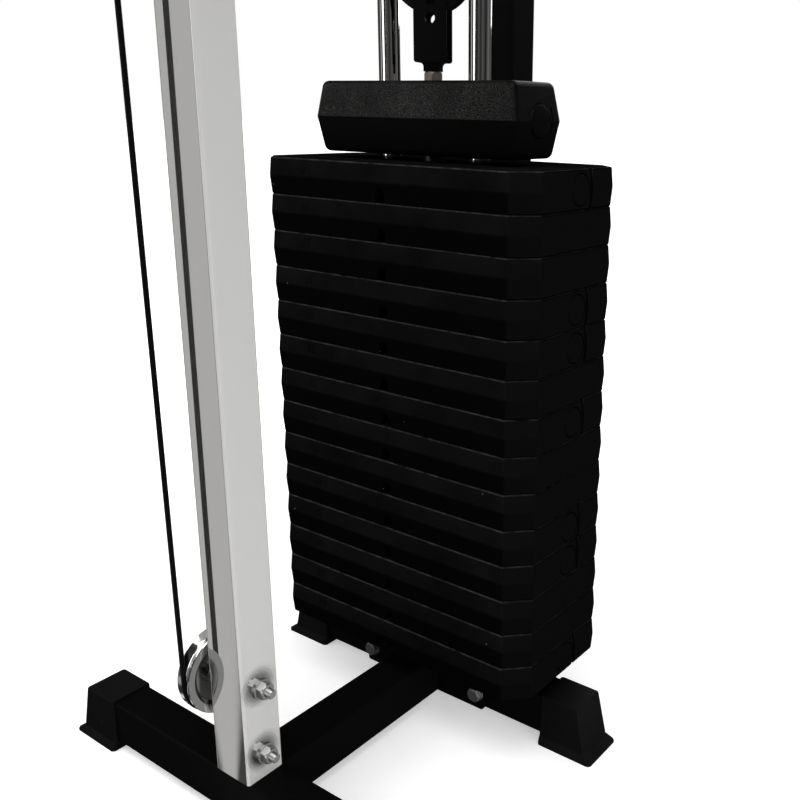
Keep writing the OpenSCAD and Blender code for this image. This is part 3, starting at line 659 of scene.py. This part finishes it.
def plate_shape(side):
    """A plate round the origin. Its groove is cut from GROOVE_DEPTH left of the end to
    PAST_END right of it, so it is deeper on a left end."""
    bm = bmesh.new()
    ridged_block(bm, (PLATE_W, PLATE_D, PLATE_T), CORNER, 1, RIDGE)
    soften(bm, RIM, 3, [e for e in bm.edges
                        if len(e.link_faces) == 2 and e.calc_face_angle() > FOLD])
    shape = loose(bm, "plate")
    end = side * PLATE_W / 2
    slot_z = PIN_SLOT_R - PLATE_T / 2
    cutters = [cutter_rod((x, 0, -PAST_TOP), (x, 0, PAST_TOP), radius)
               for x, radius in ((-ROD_X, ROD_BORE), (ROD_X, ROD_BORE), (0, STEM_BORE))]
    cutters.append(cutter_rod((0, -PAST_FRONT, slot_z), (0, PIN_SLOT_END, slot_z), PIN_SLOT_R))
    cutters.append(cutter_box((-PIN_SLOT_R, -PAST_FRONT, -PAST_TOP),
                              (PIN_SLOT_R, PIN_SLOT_END, slot_z)))
    cutters.append(cutter_box((end - GROOVE_DEPTH, GROOVE_FRONT, -PAST_TOP),
                              (end + PAST_END, GROOVE_BACK, PAST_TOP)))
    cutters.append(cutter_rod((end - side * SEAT_DEPTH, DISC_Y, 0),
                              (end + side * PAST_END, DISC_Y, 0), DISC_R + DISC_GAP))
    return carve(shape, cutters)


def add_disc(bm, side):
    """The filler plug: slightly crowned, flush with the ridge, a hair smaller than its seat."""
    r = DISC_R / MM
    turned(bm, [(-8, 0), (-8, r), (-0.9, r), (-0.3, r - 0.3), (0, r - 0.9),
                (0.1, r * 0.5), (0.15, 0)],
           Vector((side * (PLATE_W / 2 - DISC_SUNK), DISC_Y, 0)), (side, 0, 0),
           steps=48, closed=False)

# %% The plates, with the two point values that their finish reads
INSIDE = 5e-5


def store(piece, name, values):
    values = list(values)
    piece.data.attributes.new(name, "FLOAT", "POINT").data.foreach_set("value", values)


shapes = {side: plate_shape(side) for side in (-1, 1)}
for number in range(1, PLATES + 1):
    side = 1 if number in RIGHT_DISC else -1
    node = f"plate_{number:02d}"
    middle = centre_of(node).z
    bm = bmesh.new()
    bm.from_mesh(shapes[side].data)
    add_disc(bm, side)
    bmesh.ops.translate(bm, verts=bm.verts[:], vec=(0, STACK_Y, middle))
    piece = finish_piece(bm, f"stack_plate_{number:02d}", plate_shell,
                         body_of(node), (node,), sharp=28)
    heights = [v.co.z - middle for v in piece.data.vertices]
    rim_low, rim_high = PLATE_T / 2 - RIM + INSIDE, PLATE_T / 2 - INSIDE
    # The two point values mark the rims for the painted highlight and the seams for the painted
    # shade.
    store(piece, "rim", (float(rim_low < z < rim_high) for z in heights))
    store(piece, "seam_shade", (float(abs(z) > rim_low) for z in heights))
for shape in shapes.values():
    bpy.data.objects.remove(shape)
print("plates", len(RIGHT_DISC), "with the disc on the right, of", PLATES)

# %% [markdown]
# Each plate carries a small raised number on its upper slanted band, left of the
# middle: plain figures that count up the load in fives. A text object gives the
# outline, which becomes a mesh before it is laid on the slope.

# %% Raised numbers on the plates
SLOPE = math.atan2(RIDGE, PLATE_T / 2)
NUMBER_X, SUNK = -0.112, 0.0001
stand = Matrix.Rotation(math.radians(90) - SLOPE, 4, "X")
for number in range(1, PLATES + 1):
    node = f"plate_{number:02d}"
    words = bpy.data.curves.new("number", "FONT")
    words.body = str(5 * number)
    words.size = 0.0135
    words.extrude = 0.00035
    words.bevel_depth = 0.00015
    words.align_x = "CENTER"
    words.align_y = "CENTER"
    text = bpy.data.objects.new("number", words)
    bpy.context.scene.collection.objects.link(text)
    bpy.context.view_layer.update()
    bm = bmesh.new()
    bm.from_mesh(text.evaluated_get(bpy.context.evaluated_depsgraph_get()).to_mesh())
    bpy.data.objects.remove(text)
    place = Matrix.Translation((NUMBER_X, STACK_Y - PLATE_D / 2 + RIDGE / 2 - SUNK,
                                centre_of(node).z + PLATE_T / 4))
    bmesh.ops.transform(bm, verts=bm.verts[:], matrix=place @ stand)
    finish_piece(bm, f"plate_number_{number:02d}", plate_shell,
                 body_of(node), sharp=30, weighted=False)
print("numbers up to", words.body)

# %% [markdown]
# ## Head block
# The block on top of the stack has the same ridge but rounded corners and a pebbled
# skin. Its cube gets round upright bevels, a cut at half height, and rims that are
# drawn in and then rounded more than the plates' are. Bushings, stem and a filler
# disc sit in cuts, and a short slot is beside the disc.

# %% Head block
HEAD_W, HEAD_D, HEAD_H = 0.279, 0.088, 0.077
SLANT, HEAD_CORNER, HEAD_RIM, HEAD_RIDGE = 0.0062, 0.008, 0.0062, 0.0007
BUSHING_R, STEM_SEAT_R, NECK_R, SHOULDER = 0.0155, 0.0125, 0.006, 0.020
HEAD_DISC_Y, HEAD_DISC_SUNK, HEAD_SEAT_R, HEAD_SEAT_DEPTH = 0.003, 0.0006, 0.0177, 0.0045
SLOT_FRONT, SLOT_BACK, SLOT_HALF, SLOT_DEPTH = 0.023, 0.026, 0.014, 0.004
PAST_HEAD, TINY = 0.06, 1e-6
head_low, head_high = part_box("head_block")
head_middle = Vector((0, STACK_Y, (head_low.z + head_high.z) / 2))
bm = bmesh.new()
ridged_block(bm, (HEAD_W, HEAD_D, HEAD_H), HEAD_CORNER, 6, SLANT)
rim_edges = [e for e in bm.edges
             if min(abs(v.co.z) for v in e.verts) > HEAD_H / 4 and not e.is_boundary
             and abs(e.verts[0].co.z - e.verts[1].co.z) < TINY
             and any(abs(f.normal.z) < 0.9 for f in e.link_faces)]
soften(bm, HEAD_RIM, 6, rim_edges)
ridge_edges = [e for e in bm.edges if max(abs(v.co.z) for v in e.verts) < TINY]
soften(bm, HEAD_RIDGE, 2, ridge_edges)
bmesh.ops.translate(bm, verts=bm.verts[:], vec=head_middle)
block_piece = loose(bm, "head")

# %% Cuts in the head block, and its disc
def in_head(x, y, z):
    return head_middle + Vector((x, y, z))


end = HEAD_W / 2
shoulder = head_high.z - SHOULDER
cutters = [cutter_rod(in_head(x, 0, -PAST_HEAD), in_head(x, 0, PAST_HEAD), BUSHING_R)
           for x in (-ROD_X, ROD_X)]
cutters.append(cutter_rod(in_head(0, 0, -PAST_HEAD), (0, STACK_Y, shoulder), STEM_SEAT_R))
cutters.append(cutter_rod((0, STACK_Y, shoulder - MM), (0, STACK_Y, head_high.z + PAST_END),
                          NECK_R))
cutters.append(cutter_rod(in_head(end - HEAD_SEAT_DEPTH, HEAD_DISC_Y, 0),
                          in_head(end + PAST_END, HEAD_DISC_Y, 0), HEAD_SEAT_R))
cutters.append(cutter_box(in_head(end - SLOT_DEPTH, SLOT_FRONT, -SLOT_HALF),
                          in_head(end + PAST_END, SLOT_BACK, SLOT_HALF)))
carve(block_piece, cutters)
bm = bmesh.new()
bm.from_mesh(block_piece.data)
bpy.data.objects.remove(block_piece)
turned(bm, [(-6, 0), (-6, 16.6), (-1.2, 16.6), (-0.4, 16.2), (0, 15.4), (0.2, 8), (0.3, 0)],
       in_head(end - HEAD_DISC_SUNK, HEAD_DISC_Y, 0), steps=64, closed=False)
finish_piece(bm, "head_shell", pebbled_shell, body_of("head_block"),
             ("head_block",), sharp=40)
print("head block from", round(head_low.z, 4), "to", round(head_high.z, 4))

# %% [markdown]
# ## Pulleys
# A pulley is a turned wheel: one outline spun round the axle. Cylinders and rings
# could be joined for it, but a spun outline is one closed skin, as on a lathe. It has
# the groove for the cable, two rounded lips, a flat rim and a dished web that runs in
# to the bearing. A radius value on each point lets the finish draw the fine turning
# marks. The floating pulley is black plastic and is turned in plan with its bracket.

# %% Pulley wheels, half widths and radii in millimetres
SWIVEL = math.radians(25)
NARROW_HUB, WIDE_HUB, BEARING_BORE = 5.2, 9.0, 5.05
HUBS = {"low_pulley": NARROW_HUB, "top_pulley_front_left": NARROW_HUB,
        "top_pulley_rear_left": NARROW_HUB, "top_pulley_front_right": NARROW_HUB,
        "top_pulley_rear_right": NARROW_HUB, "carriage_pulley": WIDE_HUB,
        "floating_pulley": WIDE_HUB}
HALF_RIM = [(0, 39.7), (1.2, 39.75), (2.2, 40.3), (3.0, 41.0), (7.0, 44.1), (7.5, 44.42),
            (8.2, 44.4), (8.8, 44.0), (9.0, 43.4), (9.0, 37.0), (8.8, 36.4), (8.3, 35.9),
            (4.9, 32.9), (4.2, 32.0), (4.0, 31.0), (4.0, 17.8), (4.2, 17.0)]


def radii(piece, centre, axis):
    for v in piece.data.vertices:
        away = v.co - centre
        yield (away - axis * away.dot(axis)).length


for node, hub in HUBS.items():
    half = HALF_RIM + [(hub - 0.6, 15.4), (hub, 14.6), (hub, 13.2), (hub - 0.5, 12.9),
                       (hub - 0.5, 8.4), (hub, 8.0), (hub, BEARING_BORE)]
    outline = half + [(-x, r) for x, r in reversed(half[1:])]
    centre = centre_of(node)
    axis, finish, slot = Vector((1, 0, 0)), turned_metal, "pulley_metal"
    if node == "floating_pulley":
        axis = Vector((-math.sin(SWIVEL), math.cos(SWIVEL), 0))
        finish, slot = black_plastic, "pulley_black"
    bm = bmesh.new()
    turned(bm, outline, centre, axis)
    wheel = finish_piece(bm, node + "_wheel", finish, body_of(node), (node,), sharp=30)
    store(wheel, "radius", radii(wheel, centre, axis.normalized()))
print("pulley wheels", len(HUBS))

# %% [markdown]
# ## Boots, brackets and hardware
# The tube ends wear moulded rubber boots with a flared foot. Their solids already
# have the right outline, so a softened copy is enough: triangles joined into flat
# faces, then the sharp edges rounded. The same serves for plugs, brackets, the
# carriage and the bolts.

# %% Boots, plugs, brackets, the carriage and bolts
softened_copy("front_boots", "front_boot_rubber", moulded_rubber, 1.8, 3, 20)
softened_copy("rear_feet", "rear_boot_rubber", moulded_rubber, 1.8, 3, 20)
softened_copy("tube_caps", "tube_plugs", black_plastic, 0.5, 2)
softened_copy("rear_flange_plate", "flange_plate", powder_coat, 0.7, 2)
softened_copy("floating_bracket", "swivel_bracket", powder_coat, 0.6, 2)
softened_copy("carriage_frame", "carriage_sleeve", powder_coat, 0.7, 2)
softened_copy("carriage_pin", "locking_knob", black_plastic, 0.5, 2)
softened_copy("snap_hook", "hook_body", zinc_plate, 0.3, 2)
for node in ("base_bolts", "low_pulley_axle", "floating_axle", "top_pulley_bolts",
             "carriage_axle"):
    softened_copy(node, node + "_steel", bolt_zinc, 0.35, 2)
softened_copy("stem_nut", "stem_locknut", bronzed_steel, 0.35, 2)

# %% [markdown]
# The free ends of the long bolts are threaded. A spun zigzag, a hair wider than the
# plain shank under it, gives the thread its crests and grooves.

# %% Threads, in millimetres to the right of the machine's middle
THREAD_START, THREAD_END, THREAD_PITCH = 34.5, 40.4, 1.5
SHANK_R, CREST, ROOT = 5.0, 0.12, 0.5


def thread(name, node, centre):
    along = THREAD_START
    zigzag = [(along, 0.0), (along, SHANK_R - ROOT)]
    while along + THREAD_PITCH < THREAD_END:
        zigzag.append((along + THREAD_PITCH / 2, SHANK_R + CREST))
        along += THREAD_PITCH
        zigzag.append((along, SHANK_R - ROOT))
    zigzag.append((along, 0.0))
    print(name, "to", round(along, 1), "mm")
    bm = bmesh.new()
    turned(bm, zigzag, centre, steps=40, closed=False)
    finish_piece(bm, name, bolt_zinc, body_of(node), sharp=25, weighted=False)


thread("thread_upper", "low_pulley_axle", Vector((0, upper_bolt.y, upper_bolt.z)))
thread("thread_lower", "base_bolts", Vector((0, upper_bolt.y, LOWER_BOLT_Z)))

# %% [markdown]
# ## Cable
# The coated cable is one line that changes direction on the pulleys. Each stretch
# is a run of rings through points on its route, bridged into a tube. A curve with a
# round bevel would do too, but here each ring is where it is wanted: the stretches
# that grow and shrink as the stack and the carriage travel have many evenly spaced
# rings, so that they can be drawn out evenly. The routes are those of the CAD part.

# %% Cable stretches
PITCH, CABLE_R = 0.0425, 0.0025
RINGS = 48
BALL_GAP = 0.012
UP, BACK = Vector((0, 0, PITCH)), Vector((0, PITCH, 0))
low = centre_of("low_pulley")
front_left = centre_of("top_pulley_front_left")
rear_left = centre_of("top_pulley_rear_left")
front_right = centre_of("top_pulley_front_right")
rear_right = centre_of("top_pulley_rear_right")
carried = centre_of("carriage_pulley")
floating = centre_of("floating_pulley")


def cable_piece(name, node, points):
    bm = bmesh.new()
    clean = [points[0]] + [b for a, b in zip(points, points[1:]) if (b - a).length > 1e-5]
    cable_through(bm, clean, CABLE_R)
    piece = finish_piece(bm, name, cable_coat, body_of(node), (node,),
                         sharp=60, weighted=False)
    length = sum((b - a).length for a, b in zip(points, points[1:]))
    print(name, round(length, 3), "m")
    return piece


up_back = straight(low + BACK, front_left - BACK, 30)
cable_piece("cable_left", "cable_left_run",
            arc(low, PITCH, 180, 360) + up_back[1:] + arc(front_left, PITCH, 180, 90)[1:]
            + straight(front_left + UP, rear_left + UP, 4)[1:]
            + arc(rear_left, PITCH, 90, 0)[1:])
cable_piece("cable_right", "cable_right_run",
            arc(rear_right, PITCH, 0, 90)
            + straight(rear_right + UP, front_right + UP, 6)[1:]
            + arc(front_right, PITCH, 90, 180)[1:])
ball_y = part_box("cable_stop")[1].y - BALL_GAP
cable_piece("cable_round_carriage", "cable_carriage_wrap",
            arc(carried, PITCH, 360, 270)
            + straight(carried - UP, Vector((carried.x, ball_y, carried.z - PITCH)), 6)[1:])

# %% Cable round the floating pulley
turn = Matrix.Translation(floating) @ Matrix.Rotation(SWIVEL - math.radians(90), 4, "Z")
cable_piece("cable_round_floating", "cable_floating_wrap",
            [turn @ p for p in arc(Vector((0, 0, 0)), PITCH, 180, 360)])

# %% Stretches that change length with the joints
lower_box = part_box("cable_front_lower")
lower_end = low - BACK
lug_end = Vector((low.x, lower_box[0].y + CABLE_R, lower_box[1].z))
lower = cable_piece("cable_front_low", "cable_front_lower",
                    straight(lower_end, lug_end, RINGS))
upper_start = front_right - BACK
upper_end = Vector((carried.x, upper_start.y, carried.z))
upper = cable_piece("cable_front_high", "cable_front_upper",
                    straight(upper_start, upper_end, RINGS))
legs = []
for label, wheel, x in (("left", rear_left, low.x), ("right", rear_right, -low.x)):
    leg_top = Vector((x, wheel.y + PITCH, wheel.z))
    leg_foot = Vector((x, wheel.y + PITCH, floating.z))
    legs.append(cable_piece(f"cable_leg_{label}", "cable_stack_legs",
                            straight(leg_top, leg_foot, RINGS)))

# %% [markdown]
# Poses move whole bodies. A stretch of cable between two of them would tear. The two
# legs over the stack get a mesh of their own here, and the two front stretches are
# taken off their bodies with their place baked into their points.

# %% Own meshes and baked places for the cable stretches
for leg in legs:
    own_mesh(leg)


def blend_with_carriage(piece):
    piece.parent = None
    del piece["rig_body"]
    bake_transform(piece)


blend_with_carriage(lower)
blend_with_carriage(upper)

# %% [markdown]
# ## Light, floor and camera
# The camera sees a white floor and a white surround. Metal sees a dim studio instead,
# drawn by compass direction: two tall strips of light in front on the left, a few faint
# panels, and darkness between them. That is what draws the thin bright lines on the
# guide rods. Real lamps and walls would do the same, but levels by direction are set
# one by one. In front on the right, the floor near the machine is brighter to metal
# than the rest of it.

# %% What metal mirrors, at degrees left of straight ahead
STUDIO = [(-180, 0.08), (-150, 0.09), (-128, 0.16), (-98, 0.01), (-62, 0.10), (-45, 0.02),
          (-24, 0.09), (-8, 0.02), (10, 0.03), (15, 0.8), (26, 0.8), (31, 0.04), (48, 0.04),
          (51, 0.62), (58, 0.62), (61, 0.05), (85, 0.05), (180, 0.08)]
mirrored, given, result = new_group("mirrored", [("Vector", VECTOR, None)],
                                    [("Level", COLOUR)])
apart = placed(mirrored, "ShaderNodeSeparateXYZ", Vector=given["Vector"]).outputs
leftward = math_node(mirrored, "MULTIPLY", apart["X"], -1.0)
forward = math_node(mirrored, "MULTIPLY", apart["Y"], -1.0)
turned_left = math_node(mirrored, "ARCTAN2", leftward, forward)
feed(mirrored, result["Level"], levels_by_angle(mirrored, turned_left, STUDIO))
print("levels round the studio", len(STUDIO))

# %% Surround
def by_ray(tree, vector, plain, camera):
    """The mirrored studio for glossy rays, and one level for the camera and for the rest."""
    ray = tree.nodes.new("ShaderNodeLightPath").outputs
    studio = use_group(tree, mirrored, Vector=vector)["Level"]
    bounced = math_node(tree, "MAXIMUM", ray["Is Glossy Ray"], ray["Is Transmission Ray"])
    return mix(tree, ray["Is Camera Ray"], mix(tree, bounced, plain, studio), camera)


FILL, WHITE, DARK = (0.5, 0.5, 0.5), (1.0, 1.0, 1.0), (0.0, 0.0, 0.0)
world = bpy.data.worlds.new("studio")
bpy.context.scene.world = world
world.use_nodes = True
tree = world.node_tree
background = tree.nodes["Background"]
direction = tree.nodes.new("ShaderNodeTexCoord").outputs["Generated"]
feed(tree, background.inputs["Color"], by_ray(tree, direction, FILL, WHITE))
background.inputs["Strength"].default_value = 1.0

# %% Floor
bm = bmesh.new()
bmesh.ops.create_grid(bm, x_segments=1, y_segments=1, size=40.0)
mesh = bpy.data.meshes.new("floor")
bm.to_mesh(mesh)
bm.free()
floor = bpy.data.objects.new("floor", mesh)
bpy.context.scene.collection.objects.link(floor)

# %% The floor's white paper, with directions counted from a place in the machine
PAPER, CORNER_LEVEL = (0.92, 0.92, 0.92), (0.36, 0.36, 0.36)
STAND = (0, -0.16, 0)
paper, tree, shader, where = new_finish("white_floor", PAPER, 0.9, specular=0.0)
shift = tree.nodes.new("ShaderNodeVectorMath")
shift.operation = "SUBTRACT"
shift.inputs[1].default_value = STAND
feed(tree, shift.inputs[0], where)
centred = shift.outputs["Vector"]
measure = tree.nodes.new("ShaderNodeVectorMath")
measure.operation = "LENGTH"
feed(tree, measure.inputs[0], centred)
span = measure.outputs["Value"]
whiter = remap(tree, span, 0.6, 1.9, 0.42, 1.0, smooth=True)
glow = by_ray(tree, centred, DARK, whiter)
spread = placed(tree, "ShaderNodeSeparateXYZ", Vector=centred).outputs
corner = math_node(tree, "MULTIPLY", remap(tree, spread["X"], 0.02, 0.06, smooth=True),
                   remap(tree, spread["Y"], -0.06, -0.02, 1.0, 0.0, smooth=True))
near = remap(tree, span, 0.5, 0.9, 1.0, 0.0, smooth=True)
glossy = tree.nodes.new("ShaderNodeLightPath").outputs["Is Glossy Ray"]
mask = math_node(tree, "MULTIPLY", math_node(tree, "MULTIPLY", corner, near), glossy)
feed(tree, shader.inputs["Emission Color"], mix(tree, mask, glow, CORNER_LEVEL))
shader.inputs["Emission Strength"].default_value = 1.0
feed(tree, shader.inputs["Base Color"], mix(tree, glossy, PAPER, DARK))
mesh.materials.append(paper)

# %% [markdown]
# Large soft lamps light the machine at a plain level. The one on the right is kept out
# of the metal's mirror images, which leaves the levels of the studio as they are drawn.

# %% Lamps
def soft_lamp(name, place, target, size, power):
    lamp = bpy.data.lights.new(name, "AREA")
    lamp.shape = "RECTANGLE"
    lamp.size, lamp.size_y = size
    lamp.energy = power
    holder = bpy.data.objects.new(name, lamp)
    holder.location = place
    aim = Vector(target) - Vector(place)
    holder.rotation_euler = aim.to_track_quat("-Z", "Y").to_euler()
    holder.visible_camera = False
    bpy.context.scene.collection.objects.link(holder)
    return holder


soft_lamp("overhead", (0.3, -0.9, 3.2), (0, 0.05, 0.5), (2.4, 1.6), 32)
soft_lamp("left_front", (-0.95, -2.2, 1.3), (0, 0, 0.8), (0.8, 1.6), 9)
soft_lamp("left_high", (-1.5, -0.75, 1.6), (0, -0.1, 0.3), (1.2, 1.0), 7)
soft_lamp("behind", (-0.5, 2.7, 1.7), (0, 0.2, 0.9), (1.8, 1.4), 30)
right = soft_lamp("right", (2.1, -0.4, 0.35), (0, 0, 0.35), (1.3, 0.7), 22)
right.visible_glossy = False
print("lamps", len(bpy.data.lights))

# %% [markdown]
# The camera's place, turn and lens were fitted to the edges of base, plates and
# uprights in the photograph. That is a part of a wider view, so the lens is shifted.

# %% Camera at the photograph's viewing angle
camera_data = bpy.data.cameras.new("camera")
camera = bpy.data.objects.new("camera", camera_data)
bpy.context.scene.collection.objects.link(camera)
bpy.context.scene.camera = camera
camera.location = (0.6884, -0.65705, 0.7139)
camera.rotation_euler = [math.radians(a) for a in (73.918, -1.096, 34.885)]
camera_data.lens = 42.107
camera_data.sensor_width = 36.0
camera_data.shift_x = -0.1532
camera_data.shift_y = -0.0232
camera_data.clip_start = 0.02
camera_data.clip_end = 200.0

scene = bpy.context.scene
scene.view_settings.view_transform = "Standard"
print("camera", [round(v, 3) for v in camera.location])
